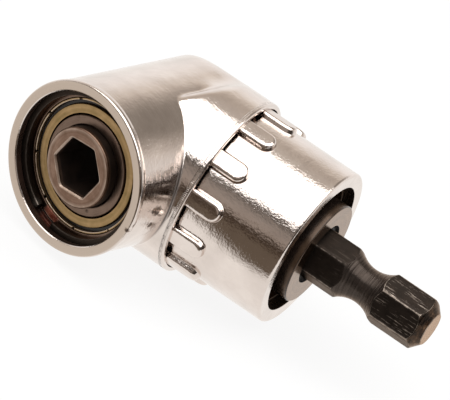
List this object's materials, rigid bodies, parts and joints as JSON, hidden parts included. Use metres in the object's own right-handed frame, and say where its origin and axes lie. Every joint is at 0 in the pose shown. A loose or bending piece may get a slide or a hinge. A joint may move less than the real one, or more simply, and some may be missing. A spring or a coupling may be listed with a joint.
{
  "type": "angled bit holder",
  "caption": "Angled bit holder: a hex shank turns a hexagonal bit socket through bevel gears inside a plated elbow with a padded sleeve.",
  "frame": {"origin": "mouth of the bit socket, where the output axis meets the face of the bit spindle", "axes": "-Y out of the bit socket, +Z square to the plane of the elbow; the drive axis lies in the XY plane, 15 degrees from +X towards +Y"},
  "size_m": [0.0505, 0.0324, 0.0242],
  "materials": {
    "nickel_plate": "bright nickel over a slightly uneven casting",
    "bearing_steel": "ground",
    "zinc_shield": "yellow zinc on pressed sheet",
    "cage_steel": "pressed sheet",
    "black_spring_steel": "phosphated spring steel",
    "spindle_steel": "turned",
    "gear_steel": "hardened and greased",
    "black_oxide_steel": "black oxide with worn edges",
    "magnet_plate": "plated"
  },
  "bodies": {
    "housing": {"head_housing": "nickel_plate", "drive_sleeve": "nickel_plate", "output_circlip": "black_spring_steel", "drive_circlip": "black_spring_steel", "output_outer_ring": "bearing_steel", "output_front_shield": "zinc_shield", "output_rear_shield": "zinc_shield", "gear_end_outer_ring": "bearing_steel", "gear_end_front_shield": "zinc_shield", "gear_end_rear_shield": "zinc_shield", "shank_end_outer_ring": "bearing_steel", "shank_end_front_shield": "zinc_shield", "shank_end_rear_shield": "zinc_shield"},
    "output_shaft": {"bit_spindle": "spindle_steel", "socket_magnet": "magnet_plate", "output_bevel_gear": "gear_steel", "output_inner_ring": "bearing_steel"},
    "input_shaft": {"drive_spindle": "spindle_steel", "hex_shank": "black_oxide_steel", "shank_pin": "bearing_steel", "input_bevel_gear": "gear_steel", "bearing_spacer": "spindle_steel", "gear_end_inner_ring": "bearing_steel", "shank_end_inner_ring": "bearing_steel"},
    "output_ball_set": {"output_balls": "bearing_steel", "output_cage": "cage_steel"},
    "gear_end_ball_set": {"gear_end_balls": "bearing_steel", "gear_end_cage": "cage_steel"},
    "shank_end_ball_set": {"shank_end_balls": "bearing_steel", "shank_end_cage": "cage_steel"}
  },
  "joints": [
    {"name": "drive_spin", "type": "hinge", "parent": "housing", "child": "input_shaft", "pos_m": [0, 0.01576, 0], "axis": [0.9659, 0.2588, 0], "continuous": true},
    {"name": "output_spin", "type": "hinge", "parent": "housing", "child": "output_shaft", "pos_m": [0, 0.01576, 0], "axis": [0, -1, 0], "continuous": true},
    {"name": "output_balls_spin", "type": "hinge", "parent": "housing", "child": "output_ball_set", "pos_m": [0, 0.01576, 0], "axis": [0, -1, 0], "continuous": true},
    {"name": "gear_end_balls_spin", "type": "hinge", "parent": "housing", "child": "gear_end_ball_set", "pos_m": [0, 0.01576, 0], "axis": [0.9659, 0.2588, 0], "continuous": true},
    {"name": "shank_end_balls_spin", "type": "hinge", "parent": "housing", "child": "shank_end_ball_set", "pos_m": [0, 0.01576, 0], "axis": [0.9659, 0.2588, 0], "continuous": true}
  ],
  "couplings": [
    {"joint": "output_spin", "follows": "drive_spin", "ratio": -1},
    {"joint": "output_balls_spin", "follows": "drive_spin", "ratio": -0.41793},
    {"joint": "gear_end_balls_spin", "follows": "drive_spin", "ratio": 0.44707},
    {"joint": "shank_end_balls_spin", "follows": "drive_spin", "ratio": 0.44707}
  ]
}
